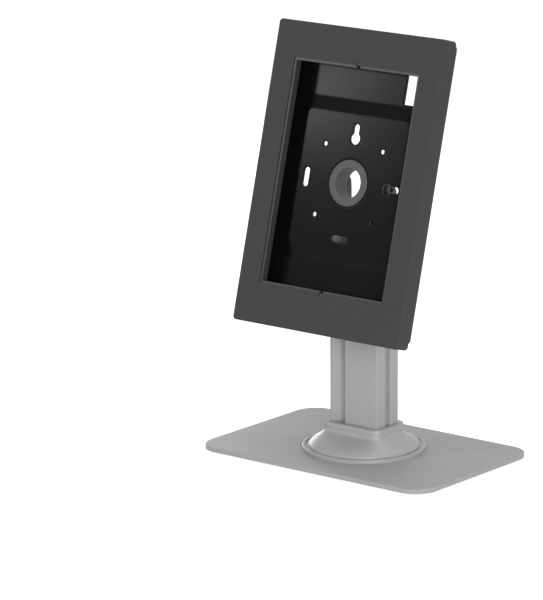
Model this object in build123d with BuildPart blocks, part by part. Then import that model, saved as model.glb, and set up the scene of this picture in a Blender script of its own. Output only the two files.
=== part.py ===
"""Locking tablet casing on a counter stand, in millimetres, +Z up.

The origin is the middle of the rectangle that the base plate covers, on the table.
The casing leans back about the tilt axis, and its own planes are measured from its
front face: u to the right, v up the face, and depth from the face into the casing.
"""
import math
import os

from build123d import *

os.makedirs("parts", exist_ok=True)

# Base plate and its feet
base_width = 300.0
base_depth = 200.0
base_thickness = 4.6
base_corner = 26.0
base_edge = 0.5
foot_height = 1.0
foot_diameter = 22.0
foot_inset = 20.0

# Column extrusion
column_width = 62.3
column_depth = 37.7
column_corner = 1.0
column_wall = 3.0
side_slot_width = 8.0
side_slot_depth = 4.5
face_slot_rim = 4.0
face_slot_width = 16.5
face_slot_valley = 5.2
face_slot_depth = 7.0
face_slot_shoulder = 13.0

# Fits and gaps shared by several pieces
face_gap = 0.1
running_gap = 0.05
screw_fit = 0.02
screw_end_gap = 0.5
cut_margin = 1.0
slide_clearance = 0.15

# Column foot and the screws that hold the column
column_foot_height = 34.0
foot_screw_size = 6.0
foot_screw_length = 18.0
foot_screw_head = 11.5
foot_screw_spread = 24.0
foot_screw_key = 4.0
column_screw_size = 5.0
column_screw_head = 9.0
column_screw_length = 11.0
column_screw_key = 3.0
column_screw_shift = -7.5
column_screw_spread = 15.0
column_screw_end = 12.0

# Collar over the column's foot
collar_flange_diameter = 132.0
collar_flange_height = 4.0
collar_flange_round = 1.0
collar_groove_diameter = 125.0
collar_groove_width = 2.8
collar_groove_depth = 1.2
collar_height = 29.0
collar_rim = 6.4
collar_rim_corner = 9.0
collar_bell_diameter = 118.0
collar_bell_flat = 2.0
collar_draft = 0.06
collar_flare_start = 0.33
collar_flare_end = 1.0
collar_sections = 10
collar_wall = 3.0
collar_clearance = 0.3

# Cable exit in the column's back
grommet_height = 66.0
grommet_hole = 16.0
grommet_wall = 2.0
grommet_flange = 2.5
grommet_lip = 1.6
grommet_shift = -6.0

# Head on the column, and the tilt axis
head_block = 8.0
head_tenon = 24.0
ear_thickness = 3.0
ear_width = 31.0
ear_rise = 11.0
ear_shoulder_drop = 4.5
ear_top_width = 15.0
cable_slot_width = 30.0
cable_slot_depth = 13.0
pivot_height = 290.0
pivot_rise = 38.0
pivot_bolt = 8.0
pivot_bolt_head = 14.0
pivot_bolt_head_height = 5.0
pivot_bolt_key = 5.0
friction_washer = 1.5
friction_washer_diameter = 16.0

# Tilt yoke, which carries the casing on a hollow spigot
casing_tilt = 15.0
pivot_depth = 46.0
arm_thickness = 4.0
arm_radius = 8.0
hub_radius = 27.7
hub_thickness = 10.3
tube_bore = 32.0
tube_length = 3.5
tube_radius = 22.6
spigot_radius = 21.0
swivel_washer_thickness = 0.8
swivel_ring_radius = 24.4
swivel_ring_thickness = 2.0
ring_screw_size = 2.5
ring_screw_head = 4.4
ring_screw_length = 8.0
ring_screw_key = 1.6
stop_pin = 4.0
stop_pin_clearance = 1.2
stop_pin_length = 6.6
stop_lug_width = 8.0
stop_lug_depth = 5.0
stop_lug_reach = 2.6
stop_gap = 0.2
swivel_travel = 90.0

# Swivel plate welded behind the casing
swivel_plate_diameter = 68.0
swivel_plate_thickness = 3.0

# Front frame
casing_width = 218.0
casing_height = 321.0
casing_corner = 4.0
frame_depth = 18.0
frame_wall = 1.5
frame_edge = 0.8
side_border = 26.8
top_border = 38.3
bottom_border = 42.7
notch_radius = 2.6
top_notch_shift = 2.0

# Gasket round the window
gasket_lip = 2.8
gasket_width = 11.0
gasket_rear = 10.0
gasket_notch = 5.2

# Rear housing
housing_side_gap = 0.3
housing_top_inset = 3.6
housing_bottom_inset = 6.1
housing_corner = 5.0
housing_depth = 24.0
housing_wall = 2.0
housing_front_gap = 0.8
plateau_width = 133.0
plateau_height = 144.0
plateau_corner = 6.0
plateau_rise = 3.8
plateau_slope = 15.0
centre_hole = 50.0
vesa_side = 75.0
vesa_hole = 5.0
key_slot_width = 7.0
key_round = 12.2
top_key_round = 46.8
top_key_end = 62.2
side_key_round = 50.4
side_key_end = 65.6
left_slot_place = 55.7
lower_slot_place = 59.2
open_slot_length = 20.6
camera_hole_width = 14.0
camera_hole_height = 30.4
camera_hole_right = 59.2
camera_hole_drop = 21.8

# Frame hinge at the bottom edge
hinge_place = 70.0
hinge_eye = 2.9
hinge_pin = 3.0
hinge_frame_lug = 12.0
hinge_housing_lug = 8.0
hinge_gap = 0.3
hinge_pin_overhang = 0.6

# Cam lock at the top edge
lock_depth = 10.8
lock_plug = 10.0
lock_hole = 10.6
lock_box_width = 31.0
lock_box_height = 16.6
lock_box_front = 3.4
lock_box_rear = 17.6
lock_nose = 3.0
lock_tail = 6.0
lock_recess = 0.3
lock_notch_gap = 1.2
lock_notch_rear = 20.0
key_slit_width = 1.6
key_slit_length = 6.4
key_slit_depth = 9.0
lock_screw = 3.0
lock_screw_head = 5.4
lock_screw_length = 9.0
lock_screw_spread = 22.4
lock_screw_key = 2.0
lock_travel = 90.0
cam_thickness = 2.0
cam_reach = 9.3
cam_width = 8.0
cam_hub = 5.4
cam_screw = 3.0
cam_screw_head = 6.4
cam_screw_head_height = 2.2
cam_screw_length = 7.0
cam_screw_key = 2.5
keeper_gap = 0.6
keeper_side_gap = 0.8
keeper_drop = 1.6
keeper_lip = 7.8
keeper_sheet = 1.6
keeper_height = 9.0
keeper_foot = 13.6
rivet_diameter = 3.0
rivet_head = 4.6
rivet_head_height = 1.0
rivet_spread = 5.6

# Rubber rests that centre a tablet behind the frame
rest_side_margin = 7.3
rest_end_margin = 4.0
rest_front = 11.2
side_rest_length = 40.0
side_rest_place = 70.0
end_rest_width = 24.0
end_rest_place = 60.0

# Sizes that follow from the ones above
column_top = pivot_height - pivot_rise
stop_circle = hub_radius + stop_pin / 2 + stop_pin_clearance
window_width = casing_width - 2 * side_border
window_height = casing_height - top_border - bottom_border
window_rise = (bottom_border - top_border) / 2
tablet_side = window_width / 2 + rest_side_margin
tablet_bottom = window_rise - window_height / 2 - rest_end_margin
tablet_top = window_rise + window_height / 2 + rest_end_margin

# Planes: the table, the underside of the plate, and the leaning face of the casing
base_top = foot_height + base_thickness
underside = Plane(origin=(0, 0, foot_height), x_dir=(1, 0, 0), z_dir=(0, 0, -1))
half_width = column_width / 2
half_depth = column_depth / 2
column_back = Plane(origin=(0, half_depth, 0), x_dir=(-1, 0, 0), z_dir=(0, 1, 0))
lean = math.radians(casing_tilt)
outward = Vector(0, -math.cos(lean), math.sin(lean))
pivot = Vector(0, 0, pivot_height)
face = Plane(origin=pivot + outward * pivot_depth, x_dir=(1, 0, 0), z_dir=outward)
outward_axis = Axis(pivot, outward)


def at_depth(depth):
    """The plane that lies this deep behind the casing's front face."""
    return face.offset(-depth)


def side_plane(across):
    """A plane square to u, with x into the casing, y up the face and z along u."""
    spot = face.origin + face.x_dir * across
    return Plane(origin=spot, x_dir=outward * -1, z_dir=face.x_dir)


def edge_plane(height):
    """A plane square to v, with x along u, y into the casing and z up the face."""
    spot = face.origin + face.y_dir * height
    return Plane(origin=spot, x_dir=face.x_dir, z_dir=face.y_dir)


def save(part, name):
    """Label a finished piece and write it to its own file."""
    part.label = name
    export_step(part, f"parts/{name}.step")


def shank(size, length):
    """A plain round shank that goes down from the local origin."""
    Cylinder(size / 2, length, align=(Align.CENTER, Align.CENTER, Align.MAX))


def countersunk_screw(size, head, length, key):
    """A screw whose flat head is flush with the local origin."""
    sink = (head - size) / 2
    shank(size, length)
    Cone(size / 2, head / 2, sink, align=(Align.CENTER, Align.CENTER, Align.MAX))
    Cylinder(
        key / 2, sink, align=(Align.CENTER, Align.CENTER, Align.MAX), mode=Mode.SUBTRACT
    )


def pan_screw(size, head, head_height, length, key):
    """A screw whose round head stands on the local origin."""
    shank(size, length)
    Cylinder(head / 2, head_height, align=(Align.CENTER, Align.CENTER, Align.MIN))
    with Locations((0, 0, head_height)):
        Cylinder(
            key / 2,
            head_height * 0.6,
            align=(Align.CENTER, Align.CENTER, Align.MAX),
            mode=Mode.SUBTRACT,
        )


def sunk_hole(size, head, depth):
    """A countersunk hole for a screw whose head ends flush."""
    CounterSinkHole(
        size / 2 + face_gap, head / 2 + face_gap, depth=depth, counter_sink_angle=90
    )


# Column section: a Z-shaped cable bore, one face slot turned to both faces, side slots
slot_start = -half_width + face_slot_rim
slot_valley = slot_start + face_slot_valley
slot_end = slot_start + face_slot_width
valley_floor = -half_depth + face_slot_depth
bore_right = half_width - side_slot_depth - column_wall
bore_left = slot_end + column_wall
bore_front = -half_depth + column_wall
bore_back = -valley_floor - column_wall


def column_bore(inset):
    """The column's bore as a sketch, drawn in by a clearance."""
    with BuildSketch(mode=Mode.PRIVATE) as bore:
        for turn in (1, -1):
            with Locations(
                (turn * (bore_right + bore_left) / 2, turn * (bore_front + bore_back) / 2)
            ):
                Rectangle(
                    bore_right - bore_left - 2 * inset, bore_back - bore_front - 2 * inset
                )
    return bore.sketch


with BuildSketch() as face_slot:
    with BuildLine():
        Line((slot_start, -half_depth), (slot_valley, valley_floor))
        RadiusArc((slot_valley, valley_floor), (slot_end, -half_depth), face_slot_shoulder)
        Polyline(
            (slot_end, -half_depth),
            (slot_end, -half_depth - cut_margin),
            (slot_start, -half_depth - cut_margin),
            (slot_start, -half_depth),
        )
    make_face()

with BuildPart() as base_plate:
    with BuildSketch(Plane.XY.offset(foot_height)):
        RectangleRounded(base_width, base_depth, base_corner)
    extrude(amount=base_thickness)
    chamfer(base_plate.faces().sort_by(Axis.Z)[-1].edges(), base_edge)
    with Locations(underside):
        with GridLocations(foot_screw_spread, 1, 2, 1):
            sunk_hole(foot_screw_size, foot_screw_head, base_thickness)
save(base_plate.part, "base_plate")

with BuildPart() as base_feet:
    with BuildSketch():
        with GridLocations(base_width - 2 * foot_inset, base_depth - 2 * foot_inset, 2, 2):
            Circle(foot_diameter / 2)
    extrude(amount=foot_height)
save(base_feet.part, "base_feet")

# The column's screw places, in the plane of its back: two rows of two
column_screw_rows = (
    base_top + column_foot_height - column_screw_end,
    column_top - column_screw_end,
)
column_screw_places = [
    (-column_screw_shift + side * column_screw_spread / 2, row)
    for row in column_screw_rows
    for side in (-1, 1)
]

with BuildPart() as column:
    with BuildSketch(Plane.XY.offset(base_top)):
        RectangleRounded(column_width, column_depth, column_corner)
        add(column_bore(0), mode=Mode.SUBTRACT)
        for turn in (0, 180):
            add(face_slot.sketch, rotation=turn, mode=Mode.SUBTRACT)
        with Locations((half_width, 0), (-half_width, 0)):
            Rectangle(2 * side_slot_depth, side_slot_width, mode=Mode.SUBTRACT)
    extrude(amount=column_top - base_top)
    with Locations(column_back):
        with Locations((-grommet_shift, grommet_height)):
            Hole(grommet_hole / 2, depth=column_wall + cut_margin)
        with Locations(*column_screw_places):
            sunk_hole(column_screw_size, column_screw_head, column_wall)
save(column.part, "column")

with BuildPart() as column_foot:
    with BuildSketch(Plane.XY.offset(base_top)):
        add(column_bore(slide_clearance))
    extrude(amount=column_foot_height)
    with Locations(underside.offset(-base_thickness)):
        with GridLocations(foot_screw_spread, 1, 2, 1):
            Hole(foot_screw_size / 2 + screw_fit, depth=foot_screw_length)
    with Locations(column_back.offset(-column_wall)):
        with Locations(*column_screw_places[:2]):
            Hole(column_screw_size / 2 + screw_fit, depth=column_screw_length)
save(column_foot.part, "column_foot")

with BuildPart() as foot_screws:
    with Locations(underside):
        with GridLocations(foot_screw_spread, 1, 2, 1):
            countersunk_screw(
                foot_screw_size, foot_screw_head, foot_screw_length, foot_screw_key
            )
save(foot_screws.part, "foot_screws")

with BuildPart() as column_screws:
    with Locations(column_back):
        with Locations(*column_screw_places):
            countersunk_screw(
                column_screw_size, column_screw_head, column_screw_length, column_screw_key
            )
save(column_screws.part, "column_screws")

# Bell collar: the sections run from the column's outline at the rim to a circle
collar_top = base_top + collar_height
bell_foot = base_top + collar_flange_height
bell_height = collar_top - bell_foot


def collar_section(height, inset):
    """One section of the bell at a height, drawn in by a wall."""
    fall = (collar_top - height) / bell_height
    flare = (fall - collar_flare_start) / (collar_flare_end - collar_flare_start)
    flare = min(max(flare, 0), 1)
    flare *= flare * (3 - 2 * flare)
    share = collar_draft * fall + (1 - collar_draft) * flare
    rim_width = column_width + 2 * collar_rim
    rim_depth = column_depth + 2 * collar_rim
    width = rim_width + share * (collar_bell_diameter - rim_width) - 2 * inset
    depth = rim_depth + share * (collar_bell_diameter - rim_depth) - 2 * inset
    round_corner = (collar_bell_diameter - collar_bell_flat) / 2
    corner = collar_rim_corner + share * (round_corner - collar_rim_corner) - inset
    with BuildSketch(Plane.XY.offset(height), mode=Mode.PRIVATE) as section:
        RectangleRounded(width, depth, corner)
    return section.sketch


def collar_bell(top, inset):
    """The sections of the bell from its foot up to a height."""
    step = (top - bell_foot) / (collar_sections - 1)
    return [collar_section(bell_foot + step * count, inset) for count in range(collar_sections)]


with BuildPart() as base_collar:
    with BuildSketch(Plane.XY.offset(base_top)):
        Circle(collar_flange_diameter / 2)
    extrude(amount=collar_flange_height)
    fillet(base_collar.faces().sort_by(Axis.Z)[-1].edges(), collar_flange_round)
    with BuildSketch(Plane.XY.offset(bell_foot)):
        Circle(collar_groove_diameter / 2)
        Circle(collar_groove_diameter / 2 - collar_groove_width, mode=Mode.SUBTRACT)
    extrude(amount=-collar_groove_depth, mode=Mode.SUBTRACT)
    loft(collar_bell(collar_top, 0))
    with BuildSketch(Plane.XY.offset(base_top)):
        Circle(collar_bell_diameter / 2 - collar_wall)
    extrude(amount=collar_flange_height, mode=Mode.SUBTRACT)
    loft(collar_bell(collar_top - 2 * collar_wall, collar_wall), mode=Mode.SUBTRACT)
    with BuildSketch(Plane.XY.offset(base_top)):
        RectangleRounded(
            column_width + 2 * collar_clearance,
            column_depth + 2 * collar_clearance,
            column_corner + collar_clearance,
        )
    extrude(amount=collar_height + cut_margin, mode=Mode.SUBTRACT)
save(base_collar.part, "base_collar")

with BuildPart() as cable_grommet:
    with Locations(column_back):
        with Locations((-grommet_shift, grommet_height)):
            shank(grommet_hole - 2 * running_gap, column_wall)
            Cylinder(
                grommet_hole / 2 + grommet_flange,
                grommet_lip,
                align=(Align.CENTER, Align.CENTER, Align.MIN),
            )
            Hole(grommet_hole / 2 - grommet_wall)
    fillet(cable_grommet.faces().sort_by(Axis.Y)[-1].edges(), grommet_lip / 4)
save(cable_grommet.part, "cable_grommet")

# Head on the column: a block with a tenon and two ears beside the tilt axis
head_top = column_top + head_block
ear_inner = half_width - ear_thickness
ear_planes = (Plane.YZ.offset(ear_inner), Plane.YZ.offset(-half_width))

with BuildPart() as column_head:
    with BuildSketch(Plane.XY.offset(column_top)):
        RectangleRounded(column_width, column_depth, column_corner)
    extrude(amount=head_block)
    with BuildSketch(Plane.XY.offset(column_top - head_tenon)):
        add(column_bore(slide_clearance))
    extrude(amount=head_tenon)
    for ear_plane in ear_planes:
        with BuildSketch(ear_plane):
            with BuildLine():
                Polyline(
                    (-ear_width / 2, head_top),
                    (-ear_width / 2, pivot_height - ear_shoulder_drop),
                    (-ear_top_width / 2, pivot_height + ear_rise),
                    (ear_top_width / 2, pivot_height + ear_rise),
                    (ear_width / 2, pivot_height - ear_shoulder_drop),
                    (ear_width / 2, head_top),
                    close=True,
                )
            make_face()
        extrude(amount=ear_thickness)
    with BuildSketch(Plane.YZ.offset(-half_width)):
        with Locations((0, pivot_height)):
            Circle(pivot_bolt / 2 + running_gap)
    extrude(amount=column_width, mode=Mode.SUBTRACT)
    with BuildSketch(Plane.XY.offset(head_top)):
        RectangleRounded(cable_slot_width, cable_slot_depth, cable_slot_depth / 3)
    extrude(amount=-(head_block + head_tenon), mode=Mode.SUBTRACT)
    with Locations(column_back.offset(-column_wall)):
        with Locations(*column_screw_places[2:]):
            Hole(column_screw_size / 2 + screw_fit, depth=column_screw_length)
save(column_head.part, "column_head")

# Both sides of the tilt axis, as planes whose z points away from the middle
right_ear = Plane(origin=pivot + Vector(half_width, 0, 0), x_dir=(0, 1, 0), z_dir=(1, 0, 0))
left_ear = Plane(
    origin=pivot - Vector(half_width, 0, 0), x_dir=(0, -1, 0), z_dir=(-1, 0, 0)
)
arm_outer = ear_inner - friction_washer - 2 * face_gap
arm_inner = arm_outer - arm_thickness

with BuildPart() as tilt_washers:
    for ear_side in (right_ear, left_ear):
        with BuildSketch(ear_side.offset(-ear_thickness - face_gap)):
            Circle(friction_washer_diameter / 2)
            Circle(pivot_bolt / 2 + face_gap, mode=Mode.SUBTRACT)
        extrude(amount=-friction_washer)
save(tilt_washers.part, "tilt_washers")

with BuildPart() as tilt_bolts:
    with Locations(right_ear.offset(face_gap), left_ear.offset(face_gap)):
        pan_screw(
            pivot_bolt,
            pivot_bolt_head,
            pivot_bolt_head_height,
            half_width + face_gap - arm_inner - screw_end_gap,
            pivot_bolt_key,
        )
save(tilt_bolts.part, "tilt_bolts")

# Depths of the swivel stack, from the floor of the housing back to the yoke
floor_depth = housing_depth - housing_wall
plateau_depth = floor_depth - plateau_rise
plate_front = plateau_depth + housing_wall
plate_rear = plate_front + swivel_plate_thickness
hub_front = plate_rear + swivel_washer_thickness + 2 * face_gap
hub_rear = hub_front + hub_thickness
hub_middle = (hub_front + hub_rear) / 2
spigot_front = plate_front - face_gap
ring_front = spigot_front - swivel_ring_thickness
ring_screw_circle = (tube_bore / 2 + spigot_radius) / 2

with BuildPart() as tilt_yoke:
    with BuildSketch(at_depth(hub_front)):
        Circle(hub_radius)
        with Locations((0, stop_circle / 2 + stop_lug_reach / 2)):
            Rectangle(stop_lug_width, stop_circle + stop_lug_reach)
    extrude(amount=-stop_lug_depth)
    with BuildSketch(at_depth(hub_front)):
        Circle(hub_radius)
    extrude(amount=-hub_thickness)
    with BuildSketch(at_depth(hub_rear)):
        Circle(tube_radius)
    extrude(amount=-tube_length)
    with BuildSketch(at_depth(spigot_front)):
        Circle(spigot_radius)
    extrude(amount=spigot_front - hub_front)
    for arm_start in (arm_inner, -arm_outer):
        with BuildSketch(side_plane(arm_start)):
            with Locations((pivot_depth, 0)):
                Circle(arm_radius)
            with Locations(((hub_middle + pivot_depth) / 2, 0)):
                Rectangle(pivot_depth - hub_middle, 2 * arm_radius)
        extrude(amount=arm_thickness)
    with BuildSketch(at_depth(spigot_front)):
        Circle(tube_bore / 2)
    extrude(amount=spigot_front - hub_rear - tube_length - cut_margin, mode=Mode.SUBTRACT)
    with BuildSketch(side_plane(-arm_outer)):
        with Locations((pivot_depth, 0)):
            Circle(pivot_bolt / 2 + screw_fit)
    extrude(amount=2 * arm_outer, mode=Mode.SUBTRACT)
    with Locations(at_depth(spigot_front)):
        with PolarLocations(ring_screw_circle, 4, 45):
            Hole(ring_screw_size / 2 + screw_fit, depth=ring_screw_length)
save(tilt_yoke.part, "tilt_yoke")

with BuildPart() as swivel_washer:
    with BuildSketch(at_depth(plate_rear + face_gap)):
        Circle(hub_radius)
        Circle(spigot_radius + face_gap, mode=Mode.SUBTRACT)
    extrude(amount=-swivel_washer_thickness)
save(swivel_washer.part, "swivel_washer")

with BuildPart() as swivel_ring:
    with BuildSketch(at_depth(ring_front)):
        Circle(swivel_ring_radius)
        Circle(tube_bore / 2, mode=Mode.SUBTRACT)
    extrude(amount=-swivel_ring_thickness)
    with Locations(at_depth(ring_front)):
        with PolarLocations(ring_screw_circle, 4, 45):
            sunk_hole(ring_screw_size, ring_screw_head, swivel_ring_thickness)
save(swivel_ring.part, "swivel_ring")

with BuildPart() as ring_screws:
    with Locations(at_depth(ring_front)):
        with PolarLocations(ring_screw_circle, 4, 45):
            countersunk_screw(
                ring_screw_size, ring_screw_head, ring_screw_length, ring_screw_key
            )
save(ring_screws.part, "ring_screws")

# The stop pins meet the lug, which points up the face, at each end of the swivel
stop_offset = math.degrees(
    math.asin((stop_lug_width / 2 + stop_pin / 2 + stop_gap) / stop_circle)
)
stop_angles = (90 + stop_offset, 90 - swivel_travel - stop_offset)

with BuildPart() as swivel_plate:
    with BuildSketch(at_depth(plate_front)):
        Circle(swivel_plate_diameter / 2)
        Circle(spigot_radius + running_gap, mode=Mode.SUBTRACT)
        for angle in stop_angles:
            with PolarLocations(stop_circle, 1, angle):
                Circle(stop_pin / 2 + screw_fit, mode=Mode.SUBTRACT)
    extrude(amount=-swivel_plate_thickness)
save(swivel_plate.part, "swivel_plate")

with BuildPart() as stop_pins:
    with BuildSketch(at_depth(plate_front)):
        for angle in stop_angles:
            with PolarLocations(stop_circle, 1, angle):
                Circle(stop_pin / 2)
    extrude(amount=-stop_pin_length)
save(stop_pins.part, "stop_pins")

# Rear housing: a tray with a raised plateau, which leaves a recess at the back
housing_width = casing_width - 2 * (frame_wall + housing_side_gap)
housing_height = casing_height - housing_top_inset - housing_bottom_inset
housing_rise = (housing_bottom_inset - housing_top_inset) / 2
housing_floor_edge = housing_rise - housing_height / 2
housing_ceiling = housing_rise + housing_height / 2
housing_front = frame_wall + housing_front_gap
plateau_foot_width = plateau_width + 2 * plateau_slope
plateau_foot_height = plateau_height + 2 * plateau_slope
crease = housing_wall * math.tan(math.atan(plateau_rise / plateau_slope) / 2)
hinge_height = -casing_height / 2 + hinge_eye
hinge_depth = frame_depth + hinge_eye - hinge_gap
housing_lug_start = hinge_frame_lug / 2 + hinge_gap
housing_lug_end = housing_lug_start + hinge_housing_lug

with BuildPart() as rear_housing:
    with BuildSketch(at_depth(housing_front)):
        with Locations((0, housing_rise)):
            RectangleRounded(housing_width, housing_height, housing_corner)
    extrude(amount=housing_front - housing_depth)
    fillet(rear_housing.faces().sort_by(outward_axis)[0].edges(), housing_wall / 2)
    with BuildSketch(at_depth(housing_front)):
        with Locations((0, housing_rise)):
            RectangleRounded(
                housing_width - 2 * housing_wall,
                housing_height - 2 * housing_wall,
                housing_corner - housing_wall,
            )
    extrude(amount=housing_front - floor_depth, mode=Mode.SUBTRACT)
    with BuildSketch(at_depth(floor_depth)):
        RectangleRounded(
            plateau_foot_width, plateau_foot_height, plateau_corner + plateau_slope
        )
    with BuildSketch(at_depth(plateau_depth)):
        RectangleRounded(plateau_width, plateau_height, plateau_corner)
    loft()
    with BuildSketch(at_depth(housing_depth)):
        RectangleRounded(
            plateau_foot_width - 2 * crease,
            plateau_foot_height - 2 * crease,
            plateau_corner + plateau_slope - crease,
        )
    with BuildSketch(at_depth(plate_front)):
        RectangleRounded(
            plateau_width - 2 * crease, plateau_height - 2 * crease, plateau_corner - crease
        )
    loft(mode=Mode.SUBTRACT)
    with BuildSketch(at_depth(plateau_depth - cut_margin)):
        Circle(centre_hole / 2)
        with GridLocations(vesa_side, vesa_side, 2, 2):
            Circle(vesa_hole / 2)
        with Locations((0, top_key_round), (side_key_round, 0)):
            Circle(key_round / 2)
        with Locations((0, (top_key_round + top_key_end - key_slot_width / 2) / 2)):
            SlotCenterToCenter(
                top_key_end - key_slot_width / 2 - top_key_round, key_slot_width, rotation=90
            )
        with Locations(((side_key_round + side_key_end - key_slot_width / 2) / 2, 0)):
            SlotCenterToCenter(
                side_key_end - key_slot_width / 2 - side_key_round, key_slot_width
            )
        with Locations((-left_slot_place, 0)):
            SlotOverall(open_slot_length, key_slot_width, rotation=90)
        with Locations((0, -lower_slot_place)):
            SlotOverall(open_slot_length, key_slot_width)
        with Locations((camera_hole_right, tablet_top - camera_hole_drop)):
            Rectangle(camera_hole_width, camera_hole_height)
    extrude(amount=plateau_depth - housing_depth - 2 * cut_margin, mode=Mode.SUBTRACT)
    with BuildSketch(at_depth(housing_front)):
        with Locations((0, housing_ceiling)):
            Rectangle(lock_box_width + 2 * lock_notch_gap, 3 * housing_wall)
    extrude(amount=housing_front - lock_notch_rear, mode=Mode.SUBTRACT)
    for place in (-hinge_place, hinge_place):
        for lug_start in (housing_lug_start, -housing_lug_end):
            with BuildSketch(side_plane(place + lug_start)):
                with Locations((hinge_depth, hinge_height)):
                    Circle(hinge_eye)
                lug_rise = housing_floor_edge + housing_wall / 2 - hinge_height
                with Locations((hinge_depth, hinge_height + lug_rise / 2)):
                    Rectangle(2 * hinge_eye, lug_rise)
                with Locations((hinge_depth, hinge_height)):
                    Circle(hinge_pin / 2 + screw_fit, mode=Mode.SUBTRACT)
            extrude(amount=hinge_housing_lug)
    keeper_wall = cam_hub + keeper_side_gap + keeper_lip
    lock_floor = casing_height / 2 - frame_wall - lock_box_height
    keeper_top = lock_floor - keeper_drop
    with Locations(at_depth(floor_depth)):
        with Locations((keeper_wall + keeper_foot / 2, keeper_top - keeper_height / 2)):
            with GridLocations(rivet_spread, 1, 2, 1):
                Hole(rivet_diameter / 2 + screw_fit, depth=housing_wall + cut_margin)
save(rear_housing.part, "rear_housing")

with BuildPart() as hinge_pins:
    for place in (-hinge_place, hinge_place):
        with BuildSketch(side_plane(place - housing_lug_end - hinge_pin_overhang)):
            with Locations((hinge_depth, hinge_height)):
                Circle(hinge_pin / 2)
        extrude(amount=2 * (housing_lug_end + hinge_pin_overhang))
save(hinge_pins.part, "hinge_pins")

# Keeper: a sheet hook that the cam turns behind
cam_front = lock_depth - cam_width / 2
lip_rear = cam_front - keeper_gap
lip_start = cam_hub + keeper_side_gap

with BuildPart() as lock_keeper:
    with BuildSketch(edge_plane(keeper_top)):
        with BuildLine():
            Polyline(
                (lip_start, lip_rear - keeper_sheet),
                (keeper_wall, lip_rear - keeper_sheet),
                (keeper_wall, floor_depth - keeper_sheet),
                (keeper_wall + keeper_foot, floor_depth - keeper_sheet),
                (keeper_wall + keeper_foot, floor_depth),
                (keeper_wall - keeper_sheet, floor_depth),
                (keeper_wall - keeper_sheet, lip_rear),
                (lip_start, lip_rear),
                close=True,
            )
        make_face()
    extrude(amount=-keeper_height)
    with Locations(at_depth(floor_depth - keeper_sheet)):
        with Locations((keeper_wall + keeper_foot / 2, keeper_top - keeper_height / 2)):
            with GridLocations(rivet_spread, 1, 2, 1):
                Hole(rivet_diameter / 2 + screw_fit, depth=keeper_sheet + cut_margin)
save(lock_keeper.part, "lock_keeper")

with BuildPart() as keeper_rivets:
    with Locations(at_depth(floor_depth - keeper_sheet)):
        with Locations((keeper_wall + keeper_foot / 2, keeper_top - keeper_height / 2)):
            with GridLocations(rivet_spread, 1, 2, 1):
                shank(rivet_diameter, keeper_sheet + housing_wall)
                Cylinder(
                    rivet_head / 2,
                    rivet_head_height,
                    align=(Align.CENTER, Align.CENTER, Align.MIN),
                )
save(keeper_rivets.part, "keeper_rivets")

# Rubber rests, on the floor of the housing and against its walls
inner_side = housing_width / 2 - housing_wall
inner_bottom = housing_floor_edge + housing_wall
inner_top = housing_ceiling - housing_wall
rest_height = floor_depth - rest_front

with BuildPart() as side_rests:
    with BuildSketch(at_depth(rest_front)):
        rest_width = inner_side - tablet_side
        rest_centres = inner_side + tablet_side
        with GridLocations(rest_centres, 2 * side_rest_place, 2, 2):
            RectangleRounded(rest_width, side_rest_length, rest_width / 6)
    extrude(amount=-rest_height)
save(side_rests.part, "side_rests")

with BuildPart() as end_rests:
    with BuildSketch(at_depth(rest_front)):
        for low, high in ((inner_bottom, tablet_bottom), (tablet_top, inner_top)):
            with Locations((0, (low + high) / 2)):
                with GridLocations(2 * end_rest_place, 1, 2, 1):
                    RectangleRounded(end_rest_width, high - low, (high - low) / 12)
    extrude(amount=-rest_height)
save(end_rests.part, "end_rests")

with BuildPart() as front_frame:
    with BuildSketch(face):
        RectangleRounded(casing_width, casing_height, casing_corner)
    extrude(amount=-frame_depth)
    fillet(front_frame.faces().sort_by(outward_axis)[-1].edges(), frame_edge)
    with BuildSketch(at_depth(frame_wall)):
        RectangleRounded(
            casing_width - 2 * frame_wall,
            casing_height - 2 * frame_wall,
            casing_corner - frame_wall,
        )
    extrude(amount=-frame_depth, mode=Mode.SUBTRACT)
    with BuildSketch(face):
        with Locations((0, window_rise)):
            Rectangle(window_width, window_height)
            with Locations((top_notch_shift, window_height / 2), (0, -window_height / 2)):
                Circle(notch_radius)
    extrude(amount=-2 * frame_wall, mode=Mode.SUBTRACT)
    for place in (-hinge_place, hinge_place):
        for lug_start in (housing_lug_start, -housing_lug_end):
            with BuildSketch(side_plane(place + lug_start - hinge_gap)):
                with Locations((frame_depth, -casing_height / 2)):
                    Rectangle(2 * (hinge_gap + frame_wall), 3 * frame_wall)
            extrude(amount=hinge_housing_lug + 2 * hinge_gap, mode=Mode.SUBTRACT)
        with BuildSketch(side_plane(place - hinge_frame_lug / 2)):
            with Locations((hinge_depth, hinge_height)):
                Circle(hinge_eye)
            with Locations(((frame_depth - cut_margin + hinge_depth) / 2, -casing_height / 2)):
                Rectangle(
                    hinge_depth - frame_depth + cut_margin,
                    frame_wall,
                    align=(Align.CENTER, Align.MIN),
                )
            with Locations((hinge_depth, hinge_height)):
                Circle(hinge_pin / 2 + running_gap, mode=Mode.SUBTRACT)
        extrude(amount=hinge_frame_lug)
    with BuildSketch(edge_plane(casing_height / 2)):
        with Locations((0, lock_depth)):
            Circle(lock_hole / 2)
    extrude(amount=-2 * frame_wall, mode=Mode.SUBTRACT)
    with Locations(edge_plane(casing_height / 2)):
        with Locations((0, lock_depth)):
            with GridLocations(lock_screw_spread, 1, 2, 1):
                sunk_hole(lock_screw, lock_screw_head, frame_wall + cut_margin)
save(front_frame.part, "front_frame")

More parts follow.
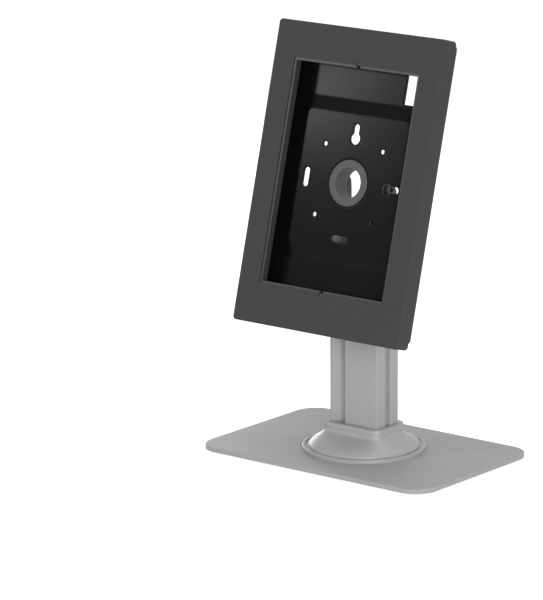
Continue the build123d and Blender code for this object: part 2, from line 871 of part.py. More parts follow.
with BuildPart() as window_gasket:
    with BuildSketch(at_depth(frame_wall)):
        with Locations((0, window_rise)):
            lip_width = window_width - 2 * gasket_lip
            lip_height = window_height - 2 * gasket_lip
            RectangleRounded(
                lip_width + 2 * gasket_width, lip_height + 2 * gasket_width, gasket_width / 2
            )
            Rectangle(lip_width, lip_height, mode=Mode.SUBTRACT)
            with Locations((top_notch_shift, lip_height / 2), (0, -lip_height / 2)):
                Rectangle(gasket_notch, 2 * gasket_lip, mode=Mode.SUBTRACT)
    extrude(amount=frame_wall - gasket_rear)
save(window_gasket.part, "window_gasket")

# Cam lock: its box hangs from the frame's top flange
flange_inside = casing_height / 2 - frame_wall

with BuildPart() as lock_box:
    with BuildSketch(edge_plane(flange_inside)):
        with Locations((0, (lock_box_front + lock_box_rear) / 2)):
            RectangleRounded(lock_box_width, lock_box_rear - lock_box_front, 2 * frame_wall)
        with Locations((0, lock_depth)):
            Circle(lock_plug / 2 + running_gap, mode=Mode.SUBTRACT)
    extrude(amount=-lock_box_height)
    with Locations(edge_plane(flange_inside)):
        with Locations((0, lock_depth)):
            with GridLocations(lock_screw_spread, 1, 2, 1):
                Hole(lock_screw / 2 + screw_fit, depth=lock_screw_length)
save(lock_box.part, "lock_box")

with BuildPart() as lock_screws:
    with Locations(edge_plane(casing_height / 2)):
        with Locations((0, lock_depth)):
            with GridLocations(lock_screw_spread, 1, 2, 1):
                countersunk_screw(
                    lock_screw, lock_screw_head, lock_screw_length, lock_screw_key
                )
save(lock_screws.part, "lock_screws")

plug_top = casing_height / 2 - lock_recess
plug_floor = lock_floor - lock_nose
cam_floor = plug_floor - cam_thickness

with BuildPart() as lock_cylinder:
    with BuildSketch(edge_plane(plug_top)):
        with Locations((0, lock_depth)):
            Circle(lock_plug / 2)
    extrude(amount=plug_floor - plug_top)
    with BuildSketch(edge_plane(plug_floor)):
        with Locations((0, lock_depth)):
            Rectangle(lock_tail, lock_tail)
    extrude(amount=-cam_thickness)
    with BuildSketch(edge_plane(plug_top)):
        with Locations((0, lock_depth)):
            Rectangle(key_slit_length, key_slit_width)
    extrude(amount=-key_slit_depth, mode=Mode.SUBTRACT)
    with BuildSketch(edge_plane(cam_floor)):
        with Locations((0, lock_depth)):
            Circle(cam_screw / 2 + screw_fit)
    extrude(amount=cam_screw_length, mode=Mode.SUBTRACT)
save(lock_cylinder.part, "lock_cylinder")

with BuildPart() as lock_cam:
    with BuildSketch(edge_plane(plug_floor)):
        with Locations((0, lock_depth)):
            Rectangle(cam_width, 2 * cam_reach)
            Circle(cam_reach, mode=Mode.INTERSECT)
        with Locations((0, lock_depth - cam_reach)):
            Rectangle(2 * cam_reach, 2 * cam_reach, mode=Mode.SUBTRACT)
        with Locations((0, lock_depth)):
            Circle(cam_hub)
            Rectangle(
                lock_tail + running_gap, lock_tail + running_gap, mode=Mode.SUBTRACT
            )
    extrude(amount=-cam_thickness)
save(lock_cam.part, "lock_cam")

with BuildPart() as cam_screw_part:
    cam_seat = edge_plane(cam_floor)
    below = Plane(origin=cam_seat.origin, x_dir=cam_seat.x_dir, z_dir=cam_seat.z_dir * -1)
    with Locations(below):
        with Locations((0, -lock_depth)):
            pan_screw(
                cam_screw,
                cam_screw_head,
                cam_screw_head_height,
                cam_screw_length - screw_end_gap,
                cam_screw_key,
            )
save(cam_screw_part.part, "cam_screw")
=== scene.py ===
"""Locking tablet casing on a counter stand: finishes, fastenings, light and camera."""
import math

import bpy
from mathutils import Matrix, Vector


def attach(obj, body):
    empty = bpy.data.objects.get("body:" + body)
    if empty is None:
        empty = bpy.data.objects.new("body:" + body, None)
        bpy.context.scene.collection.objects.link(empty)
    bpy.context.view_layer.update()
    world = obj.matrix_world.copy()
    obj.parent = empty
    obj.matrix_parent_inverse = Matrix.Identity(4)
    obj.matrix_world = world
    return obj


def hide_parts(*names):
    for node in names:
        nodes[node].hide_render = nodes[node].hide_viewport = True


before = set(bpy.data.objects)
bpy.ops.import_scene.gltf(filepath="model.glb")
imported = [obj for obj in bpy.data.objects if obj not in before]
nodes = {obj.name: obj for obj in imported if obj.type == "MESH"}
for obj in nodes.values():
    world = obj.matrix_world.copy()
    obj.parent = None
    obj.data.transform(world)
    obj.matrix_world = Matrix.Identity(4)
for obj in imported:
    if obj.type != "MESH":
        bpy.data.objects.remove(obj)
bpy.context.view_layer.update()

MM = 0.001

# The casing's own planes: u to the right, v up its face, and depth from the face inwards
LEAN = math.radians(15)
PIVOT_HEIGHT = 290
FACE_TO_PIVOT = 46
OUTWARD = Vector((0, -math.cos(LEAN), math.sin(LEAN)))
UP_FACE = Vector((0, math.sin(LEAN), math.cos(LEAN)))
FACE = Vector((0, 0, PIVOT_HEIGHT * MM)) + OUTWARD * FACE_TO_PIVOT * MM


def on_casing(u, v, depth):
    """A point of the casing from its millimetres across, up and into it."""
    return FACE + Vector((u * MM, 0, 0)) + UP_FACE * v * MM - OUTWARD * depth * MM


# Camera, at the viewing angle of the photograph
AZIMUTH = math.radians(38.975)
ELEVATION = math.radians(13.7462)
ROLL = math.radians(-0.3576)
DISTANCE = 4.41411
AIM = Vector((-0.1257142, 0.0004024, 0.1479154))
LENS, SENSOR = 272.54, 36


def place_camera():
    """Look at the stand from the photograph's side and height."""
    camera = bpy.data.objects.new("camera", bpy.data.cameras.new("camera"))
    bpy.context.scene.collection.objects.link(camera)
    bpy.context.scene.camera = camera
    camera.data.lens = LENS
    camera.data.sensor_width = SENSOR
    camera.data.sensor_fit = "HORIZONTAL"
    towards = Vector((
        math.sin(AZIMUTH) * math.cos(ELEVATION),
        -math.cos(AZIMUTH) * math.cos(ELEVATION),
        math.sin(ELEVATION),
    ))
    sideways = (-towards).cross(Vector((0, 0, 1))).normalized()
    upright = sideways.cross(-towards)
    right = math.cos(ROLL) * sideways + math.sin(ROLL) * upright
    up = -math.sin(ROLL) * sideways + math.cos(ROLL) * upright
    turn = Matrix((right, up, towards)).transposed()
    camera.matrix_world = Matrix.Translation(AIM + towards * DISTANCE) @ turn.to_4x4()


place_camera()


class Value:
    """One socket of a node tree, with Python's operators for its maths."""

    def __init__(self, graph, socket):
        self.graph = graph
        self.socket = socket

    def math(self, operation, first, second, clamp=False):
        """A Math node on two values."""
        return self.graph.node(
            "ShaderNodeMath", {"operation": operation, "use_clamp": clamp}, {0: first, 1: second}
        )

    def __add__(self, other):
        return self.math("ADD", self, other)

    def __sub__(self, other):
        return self.math("SUBTRACT", self, other)

    def __mul__(self, other):
        return self.math("MULTIPLY", self, other)

    def __truediv__(self, other):
        return self.math("DIVIDE", self, other)

    def __rsub__(self, other):
        return self.math("SUBTRACT", other, self)

    def __rtruediv__(self, other):
        return self.math("DIVIDE", other, self)

    def __gt__(self, other):
        return self.math("GREATER_THAN", self, other)

    def __lt__(self, other):
        return self.math("LESS_THAN", self, other)

    __radd__ = __add__
    __rmul__ = __mul__

    def clipped(self):
        """The value held between 0 and 1."""
        return self.math("ADD", self, 0, clamp=True)

    def rising(self, low, high):
        """0 below low, 1 above high, and a smooth rise between them."""
        return self.graph.node(
            "ShaderNodeMapRange",
            {"interpolation_type": "SMOOTHSTEP"},
            {"Value": self, "From Min": low, "From Max": high},
        )

    def output(self, name):
        """Another output of the same node."""
        return Value(self.graph, self.socket.node.outputs[name])


class Graph:
    """A node tree, whose nodes all come from one method."""

    def __init__(self, tree):
        self.tree = tree

    def node(self, kind, settings=None, inputs=None, output=0):
        """Add a node: its settings first, then the values or links of its sockets."""
        made = self.tree.nodes.new(kind)
        for name, value in (settings or {}).items():
            if name == "items":
                made.index_switch_items.clear()
                for _ in range(value):
                    made.index_switch_items.new()
            else:
                setattr(made, name, value)
        for name, value in (inputs or {}).items():
            if isinstance(value, Value):
                self.tree.links.new(value.socket, made.inputs[name])
            else:
                made.inputs[name].default_value = value
        return Value(self, made.outputs[output]) if made.outputs else None

    def along(self, first, second):
        """The dot product of two directions."""
        return self.node(
            "ShaderNodeVectorMath",
            {"operation": "DOT_PRODUCT"},
            {0: first, 1: second},
            output="Value",
        )


# Sockets of the mix node that carry its colours, and the bevel's quality
MIX_FIRST, MIX_SECOND, MIX_RESULT = 6, 7, 2
BEVEL_SAMPLES = 6

# Every finish, by its material slot in the record
finishes = {}


class Finish(Graph):
    """A material with its one shader, and the patterns that its finish is made from."""

    def __init__(self, name, **constants):
        self.material = bpy.data.materials.new(name)
        self.material.use_nodes = True
        finishes[name] = self.material
        super().__init__(self.material.node_tree)
        self.shader = self.tree.nodes["Principled BSDF"]
        for socket, value in constants.items():
            self.set(socket.replace("_", " "), value)
        self.place = self.node("ShaderNodeTexCoord").output("Object")

    def set(self, socket, value):
        """Give one of the shader's sockets a constant or a link."""
        if isinstance(value, Value):
            self.tree.links.new(value.socket, self.shader.inputs[socket])
        else:
            self.shader.inputs[socket].default_value = value

    def stretched(self, scale):
        """Object coordinates with a scale for each axis."""
        return self.node(
            "ShaderNodeVectorMath", {"operation": "MULTIPLY"}, {0: self.place, 1: scale}
        )

    def noise(self, size, detail=2.0, roughness=0.5, place=None):
        """Noise from 0 to 1 whose lumps are about this many millimetres wide."""
        return self.node(
            "ShaderNodeTexNoise",
            {"noise_dimensions": "3D"},
            {
                "Vector": place or self.place,
                "Scale": 1 / (size * MM),
                "Detail": detail,
                "Roughness": roughness,
            },
        )

    def cells(self, size):
        """Distance from the middles of cells about this many millimetres wide."""
        return self.node(
            "ShaderNodeTexVoronoi",
            {"feature": "F1"},
            {"Vector": self.place, "Scale": 1 / (size * MM)},
        )

    def mixed(self, share, first, second):
        """A colour between two others."""
        return self.node(
            "ShaderNodeMix",
            {"data_type": "RGBA"},
            {0: share, MIX_FIRST: first, MIX_SECOND: second},
            output=MIX_RESULT,
        )

    def rounded(self, radius):
        """The surface's normal with its edges rounded over."""
        return self.node(
            "ShaderNodeBevel", {"samples": BEVEL_SAMPLES}, {"Radius": radius * MM}
        )

    def edges(self, radius):
        """1 on sharp edges, where a coat wears and catches light, and 0 on flats."""
        flat = self.node("ShaderNodeNewGeometry").output("Normal")
        return (1 - self.along(self.rounded(radius), flat)).rising(0.01, 0.16)

    def wear(self, radius, patch):
        """1 where sharp edges are rubbed, in patches about this many millimetres long."""
        return self.edges(radius) * self.noise(patch, detail=3.0).rising(0.35, 0.65)

    def relief(self, height, depth, radius):
        """Raise the surface by a pattern, this many millimetres from low to high."""
        bump = self.node(
            "ShaderNodeBump",
            {},
            {
                "Height": height,
                "Distance": depth * MM,
                "Strength": 1.0,
                "Normal": self.rounded(radius),
            },
        )
        self.set("Normal", bump)


# No worn edge, and no edge painted with a highlight, is lighter than this
BRIGHTEST = 0.9


def grey(level, warm=0.0):
    """A grey, slightly warm or cool."""
    return (level * (1 + warm), level, level * (1 - warm), 1)


def powder_coat(name, level, worn, grain, depth, rough, gloss, radius, warm=0.0):
    """A baked powder coat: fine orange peel, faint mottling, and worn edges."""
    coat = Finish(name, Specular_IOR_Level=gloss)
    peel = coat.noise(grain, detail=3.0, roughness=0.55)
    cloud = coat.noise(size=28)
    speck = coat.noise(grain * 0.45, detail=1.0)
    wear = coat.wear(radius, patch=6)
    tone = (cloud * 0.5 + speck * 0.5).rising(0.3, 0.7)
    base = coat.mixed(tone, grey(level * 0.96, warm), grey(level * 1.04, warm))
    coat.set("Base Color", coat.mixed(wear * 0.5, base, grey(worn, warm)))
    coat.set("Roughness", (rough + (cloud - 0.5) * 0.08 - wear * 0.1).clipped())
    coat.relief(peel, depth, radius)


def extrusion_coat(name, low, high, worn, rough, warm):
    """A satin coat over an extrusion, whose draw lines show through it."""
    coat = Finish(name, Specular_IOR_Level=0.3)
    along = coat.stretched((1, 1, 0.006))
    draw = coat.noise(size=0.7, detail=4.0, roughness=0.6, place=along)
    fleck = coat.noise(size=0.5)
    cloud = coat.noise(size=30)
    wear = coat.wear(radius=0.5, patch=7)
    tone = (draw * 0.5 + cloud * 0.5).rising(0.3, 0.7)
    base = coat.mixed(tone, grey(low, warm), grey(high, warm))
    coat.set("Base Color", coat.mixed(wear * 0.4, base, grey(worn)))
    coat.set("Roughness", (rough + (draw - 0.5) * 0.15).clipped())
    coat.relief(draw * 0.4 + fleck * 0.6, depth=0.015, radius=0.5)


def tray_coat(name, outside, inside, worn, rough, smooth):
    """The tray's two coats: a smooth one inside, painted near black as painted shade of the
    cavity, and the textured one on its back.
    """
    coat = Finish(name, Specular_IOR_Level=0.075)
    facing_in = coat.along(coat.place.output("Normal"), OUTWARD).rising(0.1, 0.3)
    peel = coat.noise(size=0.8, detail=3.0, roughness=0.55)
    cloud = coat.noise(size=28)
    wear = coat.wear(radius=0.6, patch=6) * (1 - facing_in)
    back = coat.mixed(cloud.rising(0.3, 0.7), grey(outside[0]), grey(outside[1]))
    # Painted shade: the inward faces are painted near black for the dim cavity
    painted_shade_lining = coat.mixed(cloud, grey(inside[0]), grey(inside[1]))
    base = coat.mixed(facing_in, back, painted_shade_lining)
    coat.set("Base Color", coat.mixed(wear * 0.5, base, grey(worn)))
    coat.set("Roughness", (rough - facing_in * (rough - smooth) + (cloud - 0.5) * 0.06).clipped())
    coat.relief(peel * (1 - facing_in * 0.5), depth=0.04, radius=3.0)


def drawn_metal(name, level, rough, depth, metallic=1.0, stretch=(1, 1, 1)):
    """Bare or plated metal, whose fine pattern can be stretched into draw lines."""
    metal = Finish(name, Metallic=metallic)
    lines = metal.noise(size=0.5, detail=4.0, roughness=0.6, place=metal.stretched(stretch))
    cloud = metal.noise(size=14, detail=3.0)
    # Painted highlight: every sharp edge of the metal is painted lighter
    edge = metal.edges(radius=0.3)
    base = metal.mixed(cloud, grey(level * 0.86), grey(level * 1.06))
    edge_highlight_and_rub = grey(min(level * 1.3, BRIGHTEST))
    metal.set("Base Color", metal.mixed(edge * 0.5, base, edge_highlight_and_rub))
    metal.set("Roughness", (rough + (lines - 0.5) * 0.18 + (cloud - 0.5) * 0.08).clipped())
    metal.relief(lines, depth, radius=0.25)


def moulded_plastic(name, level, grain, depth, rough, radius, warm):
    """Spark-textured moulded plastic with faint flow in its colour."""
    plastic = Finish(name)
    spark = plastic.noise(grain, roughness=0.6)
    flow = plastic.noise(size=35, place=plastic.stretched((1, 1, 0.4)))
    rub = plastic.edges(radius) * plastic.noise(size=5).rising(0.4, 0.7)
    base = plastic.mixed(flow, grey(level * 0.95, warm), grey(level * 1.05, warm))
    edge_highlight_and_rub = grey(min(level * 1.35, BRIGHTEST), warm)
    plastic.set("Base Color", plastic.mixed(rub * 0.4, base, edge_highlight_and_rub))
    plastic.set("Roughness", (rough + (spark - 0.5) * 0.12).clipped())
    plastic.relief(spark, depth, radius)


def rubber(name, level, grain):
    """Matt rubber with a dusty bloom in its low places."""
    piece = Finish(name, Specular_IOR_Level=0.3)
    skin = piece.noise(grain, detail=3.0, roughness=0.6)
    bloom = piece.noise(size=9, detail=3.0).rising(0.45, 0.75)
    piece.set("Base Color", piece.mixed(bloom * 0.5, grey(level), grey(level * 1.9)))
    piece.set("Roughness", (0.8 + (skin - 0.5) * 0.15).clipped())
    piece.relief(skin, depth=0.06, radius=0.4)


def foam(name, level):
    """Closed-cell foam with a smooth skin: small burst cells whose pits are painted darker, as
    painted shade in the hollows.
    """
    piece = Finish(name, Specular_IOR_Level=0.3)
    fine = piece.noise(size=0.35)
    wall = piece.cells(size=0.9).rising(0.15, 0.65)
    # Painted shade: the low pits of the cells are painted darker than the walls
    piece.set("Base Color", piece.mixed(wall, grey(level * 0.45), grey(level)))
    piece.set("Roughness", (0.34 + (fine - 0.5) * 0.1).clipped())
    piece.relief(wall * 0.8 + fine * 0.2, depth=0.05, radius=0.8)


# The stand's finishes
powder_coat(
    "stand_paint", level=0.315, worn=0.46, grain=0.9, depth=0.03, rough=0.5, gloss=0.3,
    radius=0.6, warm=0.008,
)
extrusion_coat("column_paint", low=0.33, high=0.35, worn=0.65, rough=0.44, warm=0.008)
moulded_plastic(
    "collar_plastic", level=0.32, grain=0.5, depth=0.015, rough=0.38, radius=0.8, warm=0.008
)
powder_coat(
    "head_paint", level=0.06, worn=0.10, grain=0.7, depth=0.04, rough=0.5, gloss=0.35,
    radius=0.5, warm=0.03,
)
rubber("foot_rubber", level=0.03, grain=0.8)
rubber("grommet_rubber", level=0.03, grain=0.5)
moulded_plastic(
    "washer_plastic", level=0.62, grain=0.4, depth=0.01, rough=0.4, radius=0.3, warm=0.03
)
drawn_metal("cast_aluminium", level=0.6, rough=0.4, depth=0.01, stretch=(1, 1, 0.02))

# The casing's finishes
powder_coat(
    "casing_paint", level=0.031, worn=0.07, grain=0.8, depth=0.05, rough=0.62, gloss=0.26,
    radius=0.7,
)
# inside is painted shade: the cavity's faces are painted near black, far darker than the back
tray_coat(
    "inside_paint", outside=(0.050, 0.056), inside=(0.0025, 0.0045), worn=0.10,
    rough=0.6, smooth=0.2,
)
powder_coat(
    "black_paint", level=0.03, worn=0.08, grain=0.9, depth=0.05, rough=0.5, gloss=0.3,
    radius=0.5,
)
powder_coat(
    "lock_metal", level=0.05, worn=0.12, grain=0.5, depth=0.04, rough=0.5, gloss=0.5,
    radius=0.5,
)
rubber("rest_rubber", level=0.025, grain=0.7)
foam("gasket_foam", level=0.045)
drawn_metal("zinc_steel", level=0.55, rough=0.32, depth=0.006)
drawn_metal("dark_screw", level=0.10, rough=0.42, depth=0.006, metallic=0.8)
drawn_metal("lock_chrome", level=0.75, rough=0.16, depth=0.002)

finished_nodes = {
    "stand_paint": ("base_plate",),
    "column_paint": ("column",),
    "collar_plastic": ("base_collar",),
    "head_paint": ("column_head", "tilt_yoke", "swivel_ring"),
    "foot_rubber": ("base_feet",),
    "grommet_rubber": ("cable_grommet",),
    "washer_plastic": ("tilt_washers", "swivel_washer"),
    "cast_aluminium": ("column_foot",),
    "casing_paint": ("front_frame",),
    "inside_paint": ("rear_housing",),
    "black_paint": ("swivel_plate",),
    "lock_metal": ("lock_box",),
    "rest_rubber": ("side_rests", "end_rests"),
    "gasket_foam": ("window_gasket",),
    "zinc_steel": ("lock_cam", "lock_keeper", "hinge_pins", "stop_pins"),
    "lock_chrome": ("lock_cylinder",),
}
for finish, names in finished_nodes.items():
    for name in names:
        for material_slot in nodes[name].material_slots:
            material_slot.material = finishes[finish]

# Fastenings: one Geometry Nodes tree turns every screw, bolt and rivet, with AROUND faces
# round each. A length below TINY metres counts as none, and bends past CRISP stay sharp.
AROUND = 36
TINY = 1e-6
CRISP = math.radians(34)
SIZES = (
    "Head Diameter", "Head Height", "Sink", "Shank", "Length", "Key", "Key Depth", "Edge"
)


def fastening_tree():
    """A tree that sets a fastening with a hexagon socket on each of its places."""
    tree = bpy.data.node_groups.new("fastening", "GeometryNodeTree")
    face = tree.interface
    face.new_socket("Places", in_out="INPUT", socket_type="NodeSocketGeometry")
    for name in SIZES:
        face.new_socket(name, in_out="INPUT", socket_type="NodeSocketFloat")
    face.new_socket("Seed", in_out="INPUT", socket_type="NodeSocketInt")
    face.new_socket("Finish", in_out="INPUT", socket_type="NodeSocketMaterial")
    face.new_socket("Fastenings", in_out="OUTPUT", socket_type="NodeSocketGeometry")
    graph = Graph(tree)
    given = graph.node("NodeGroupInput")
    head, top, sink, shank, length, key, key_depth, edge = (
        given.output(name) for name in SIZES
    )
    head, shank, key = head / 2, shank / 2, key / 2
    shoulder = sink < TINY

    # The turned outline: radius, height, and 1 where the row is a hexagon
    rows = (
        (0.0, top - key_depth - key * 0.3, 0),
        (key * 0.96, top - key_depth, 1),
        (key, top - edge, 1),
        (key * 1.22, top, 0),
        (head - edge, top, 0),
        (head - edge * 0.62, top - edge * 0.08, 0),
        (head - edge * 0.3, top - edge * 0.3, 0),
        (head - edge * 0.08, top - edge * 0.62, 0),
        (head, top - edge, 0),
        (head, (top - edge * 1.4) * (1 - shoulder), 0),
        (shank, sink * -1, 0),
        (shank, edge - length, 0),
        (shank - edge, length * -1, 0),
        (0.0, length * -1, 0),
    )
    sheet = graph.node(
        "GeometryNodeMeshGrid", {}, {"Vertices X": len(rows), "Vertices Y": AROUND + 1}
    )
    index = graph.node("GeometryNodeInputIndex")

    def of_one(operation, value):
        """A Math node on one value."""
        return graph.node("ShaderNodeMath", {"operation": operation}, {0: value})

    row = of_one("FLOOR", index / (AROUND + 1))
    angle = (index - row * (AROUND + 1)) * (2 * math.pi / AROUND)

    def of_row(part):
        """The radius, the height or the hexagon mark of the point's own row."""
        return graph.node(
            "GeometryNodeIndexSwitch",
            {"data_type": "FLOAT", "items": len(rows)},
            {"Index": row} | {k + 1: r[part] for k, r in enumerate(rows)},
        )

    sixth = math.pi / 3
    within = angle - sixth * of_one("FLOOR", angle / sixth) - sixth / 2
    flat = 1 / of_one("COSINE", within)
    radius = of_row(0) * (1 + (flat - 1) * of_row(2))
    place = graph.node(
        "ShaderNodeCombineXYZ",
        {},
        {
            "X": radius * of_one("COSINE", angle),
            "Y": radius * of_one("SINE", angle),
            "Z": of_row(1),
        },
    )
    turned = graph.node("GeometryNodeSetPosition", {}, {"Geometry": sheet, "Position": place})
    closed = graph.node(
        "GeometryNodeMergeByDistance", {}, {"Geometry": turned, "Distance": TINY}
    )
    smooth = graph.node(
        "GeometryNodeSetShadeSmooth", {"domain": "FACE"}, {"Geometry": closed}
    )
    bend = graph.node("GeometryNodeInputMeshEdgeAngle").output("Unsigned Angle")
    crisp = graph.node(
        "GeometryNodeSetShadeSmooth",
        {"domain": "EDGE"},
        {"Geometry": smooth, "Selection": bend > CRISP, "Shade Smooth": False},
    )
    outward = graph.node(
        "GeometryNodeInputNamedAttribute", {"data_type": "FLOAT_VECTOR"}, {"Name": "outward"}
    )
    facing = graph.node(
        "FunctionNodeAlignRotationToVector", {"axis": "Z"}, {"Vector": outward}
    )
    spin = graph.node(
        "FunctionNodeRandomValue",
        {"data_type": "FLOAT"},
        {"Min": 0.0, "Max": 2 * math.pi, "Seed": given.output("Seed")},
        output=1,
    )
    about_z = graph.node(
        "FunctionNodeAxisAngleToRotation", {}, {"Axis": (0, 0, 1), "Angle": spin}
    )
    spun = graph.node(
        "FunctionNodeRotateRotation",
        {"rotation_space": "LOCAL"},
        {"Rotation": facing, "Rotate By": about_z},
    )
    set_out = graph.node(
        "GeometryNodeInstanceOnPoints",
        {},
        {"Points": given.output("Places"), "Instance": crisp, "Rotation": spun},
    )
    real = graph.node("GeometryNodeRealizeInstances", {}, {"Geometry": set_out})
    painted = graph.node(
        "GeometryNodeSetMaterial", {}, {"Geometry": real, "Material": given.output("Finish")}
    )
    graph.node("NodeGroupOutput", {}, {"Fastenings": painted})
    return tree


fastening = fastening_tree()


def fastenings(name, node, body, slot, places, seed, **sizes):
    """Fastenings that stand for a CAD node, each given as its seat and its outward way."""
    mesh = bpy.data.meshes.new(name + "_places")
    mesh.from_pydata([seat for seat, _ in places], [], [])
    ways = mesh.attributes.new("outward", "FLOAT_VECTOR", "POINT")
    for entry, (_, way) in zip(ways.data, places):
        entry.vector = way
    holder = bpy.data.objects.new(name + "_places", mesh)
    bpy.context.scene.collection.objects.link(holder)
    modifier = holder.modifiers.new("fastening", "NODES")
    modifier.node_group = fastening
    sockets = {
        item.name: item.identifier
        for item in fastening.interface.items_tree
        if item.in_out == "INPUT"
    }
    for socket in SIZES:
        modifier[sockets[socket]] = sizes[socket.lower().replace(" ", "_")] * MM
    modifier[sockets["Seed"]] = seed
    modifier[sockets["Finish"]] = finishes[slot]
    bpy.context.view_layer.update()
    ready = holder.evaluated_get(bpy.context.evaluated_depsgraph_get())
    made = bpy.data.meshes.new_from_object(ready)
    made.name = name
    piece = bpy.data.objects.new(name, made)
    bpy.context.scene.collection.objects.link(piece)
    bpy.data.objects.remove(holder)
    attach(piece, body)
    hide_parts(node)


def countersunk(size, head, length, key):
    """Sizes of a flat-headed screw that ends flush."""
    sink = (head - size) / 2
    return {
        "head_diameter": head, "head_height": 0, "sink": sink, "shank": size,
        "length": length, "key": key, "key_depth": sink * 1.1, "edge": 0.12 * sink,
    }


def pan(size, head, height, length, key):
    """Sizes of a screw whose round head stands on its seat."""
    return {
        "head_diameter": head, "head_height": height, "sink": 0, "shank": size,
        "length": length, "key": key, "key_depth": height * 0.6, "edge": 0.22 * height,
    }


def rivet(size, head, height, length):
    """Sizes of a blind rivet: a low domed head with a small dimple."""
    return {
        "head_diameter": head, "head_height": height, "sink": 0, "shank": size,
        "length": length, "key": head * 0.2, "key_depth": height * 0.4, "edge": 0.7 * height,
    }


# Seats of the fastenings, in millimetres of the stand or of the casing
DOWN, BACK = Vector((0, 0, -1)), Vector((0, 1, 0))
RIGHT, LEFT = Vector((1, 0, 0)), Vector((-1, 0, 0))
BASE_UNDER = 1.0
FOOT_SCREW_SIDE = 12
COLUMN_BACK = 18.85
COLUMN_SCREW_SIDES = (-15, 0)
COLUMN_SCREW_HEIGHTS = (27.6, 240)
EAR_SIDE = 31.15
RING_FACE = 18.1
RING_SCREW_RADIUS = 18.5
RING_SCREW_SIDE = RING_SCREW_RADIUS * math.sqrt(0.5)
KEEPER_RIVET_SIDES = (18, 23.6)
KEEPER_RIVET_RISE = 136.3
KEEPER_FACE = 20.4
LOCK_AXIS = 10.8
CAM_UNDER = 137.4
TOP_EDGE = 160.5
LOCK_SCREW_SIDE = 11.2

fastenings(
    "foot_screw_set", "foot_screws", "stand", "zinc_steel",
    [(Vector((x, 0, BASE_UNDER)) * MM, DOWN) for x in (-FOOT_SCREW_SIDE, FOOT_SCREW_SIDE)],
    seed=3, **countersunk(size=6, head=11.5, length=18, key=4),
)
fastenings(
    "column_screw_set", "column_screws", "stand", "dark_screw",
    [(Vector((x, COLUMN_BACK, z)) * MM, BACK)
     for x in COLUMN_SCREW_SIDES for z in COLUMN_SCREW_HEIGHTS],
    seed=5, **countersunk(size=5, head=9, length=11, key=3),
)
fastenings(
    "tilt_bolt_set", "tilt_bolts", "tilt_head", "head_paint",
    [(Vector((EAR_SIDE, 0, PIVOT_HEIGHT)) * MM, RIGHT),
     (Vector((-EAR_SIDE, 0, PIVOT_HEIGHT)) * MM, LEFT)],
    seed=7, **pan(size=8, head=14, height=5, length=8.3, key=5),
)
fastenings(
    "ring_screw_set", "ring_screws", "tilt_head", "dark_screw",
    [(on_casing(u, v, RING_FACE), OUTWARD)
     for u in (-RING_SCREW_SIDE, RING_SCREW_SIDE) for v in (-RING_SCREW_SIDE, RING_SCREW_SIDE)],
    seed=11, **countersunk(size=2.5, head=4.4, length=8, key=1.6),
)
fastenings(
    "keeper_rivet_set", "keeper_rivets", "casing", "zinc_steel",
    [(on_casing(u, KEEPER_RIVET_RISE, KEEPER_FACE), OUTWARD) for u in KEEPER_RIVET_SIDES],
    seed=13, **rivet(size=3, head=4.6, height=1, length=3.6),
)
fastenings(
    "cam_screw_set", "cam_screw", "lock", "zinc_steel",
    [(on_casing(0, CAM_UNDER, LOCK_AXIS), -UP_FACE)],
    seed=19, **pan(size=3, head=6.4, height=2.2, length=6.5, key=2.5),
)
fastenings(
    "lock_screw_set", "lock_screws", "front", "dark_screw",
    [(on_casing(u, TOP_EDGE, LOCK_AXIS), UP_FACE) for u in (-LOCK_SCREW_SIDE, LOCK_SCREW_SIDE)],
    seed=17, **countersunk(size=3, head=5.4, length=9, key=2),
)

# A white floor and sky, at full strength only where they are seen
FLOOR_REACH = 6.0
FLOOR_PAPER = 0.8
FLOOR_GLOW = 0.6
AMBIENT = 0.5


def seen_directly(graph):
    """1 for what the camera, gloss and glass show, and 0 for the light on the object."""
    path = graph.node("ShaderNodeLightPath")
    return (
        path.output("Is Camera Ray")
        + path.output("Is Glossy Ray")
        + path.output("Is Transmission Ray")
    ).clipped()


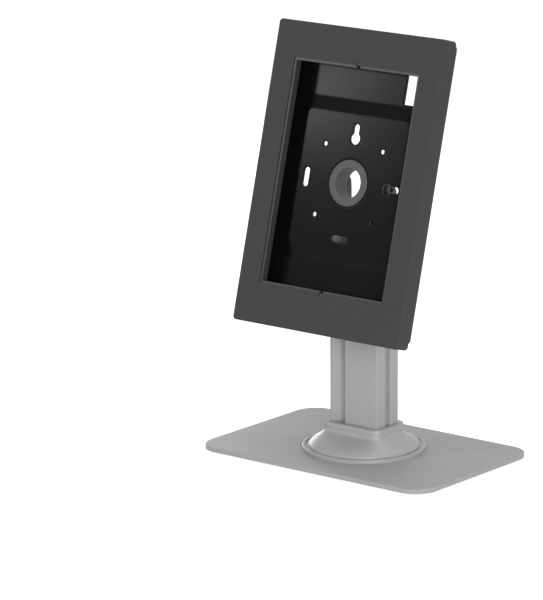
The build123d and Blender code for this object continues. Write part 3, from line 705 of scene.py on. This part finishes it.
def lay_floor():
    """A sheet of white paper that keeps the stand's shadow."""
    mesh = bpy.data.meshes.new("floor")
    ends = (-FLOOR_REACH, FLOOR_REACH)
    mesh.from_pydata([(x, y, 0) for x in ends for y in ends], [], [(0, 2, 3, 1)])
    floor = bpy.data.objects.new("floor", mesh)
    bpy.context.scene.collection.objects.link(floor)
    paper = bpy.data.materials.new("floor_paper")
    paper.use_nodes = True
    paper.node_tree.nodes.clear()
    graph = Graph(paper.node_tree)
    diffuse = graph.node("ShaderNodeBsdfDiffuse", {}, {"Color": grey(FLOOR_PAPER)})
    glow = graph.node(
        "ShaderNodeEmission",
        {},
        {"Color": grey(1.0), "Strength": seen_directly(graph) * FLOOR_GLOW},
    )
    both = graph.node("ShaderNodeAddShader", {}, {0: diffuse, 1: glow})
    graph.node("ShaderNodeOutputMaterial", {}, {"Surface": both})
    mesh.materials.append(paper)


def light_sky():
    """A white sky that lights the object at a lower strength."""
    world = bpy.data.worlds.new("studio")
    bpy.context.scene.world = world
    world.use_nodes = True
    world.node_tree.nodes.clear()
    graph = Graph(world.node_tree)
    strength = AMBIENT + (1 - AMBIENT) * seen_directly(graph)
    sky = graph.node("ShaderNodeBackground", {}, {"Color": grey(1.0), "Strength": strength})
    graph.node("ShaderNodeOutputWorld", {}, {"Surface": sky})


def softbox(name, place, aim, width, height, watts):
    """A soft lamp that faces a point."""
    lamp = bpy.data.lights.new(name, "AREA")
    lamp.shape = "RECTANGLE"
    lamp.size, lamp.size_y, lamp.energy = width, height, watts
    holder = bpy.data.objects.new(name, lamp)
    bpy.context.scene.collection.objects.link(holder)
    holder.location = place
    holder.rotation_mode = "QUATERNION"
    holder.rotation_quaternion = (Vector(aim) - Vector(place)).to_track_quat("-Z", "Y")


CASING_MIDDLE = (0, -0.05, 0.28)
COLLAR_MIDDLE = (0, 0, 0.1)

lay_floor()
light_sky()

# The glow light is small: its reflection is the glow inside the casing
softbox("key_light", (1.7, -1.6, 0.5), CASING_MIDDLE, width=1.2, height=0.9, watts=39)
softbox("glow_light", (-0.83, -0.90, 0.69), CASING_MIDDLE, width=0.2, height=0.2, watts=2.2)
softbox("rim_light", (-1.5, 0.9, 0.3), COLLAR_MIDDLE, width=0.8, height=0.4, watts=6)
softbox("top_light", (0.2, 0.2, 1.9), CASING_MIDDLE, width=1.6, height=1.6, watts=12)

bpy.context.scene.view_settings.view_transform = "Standard"
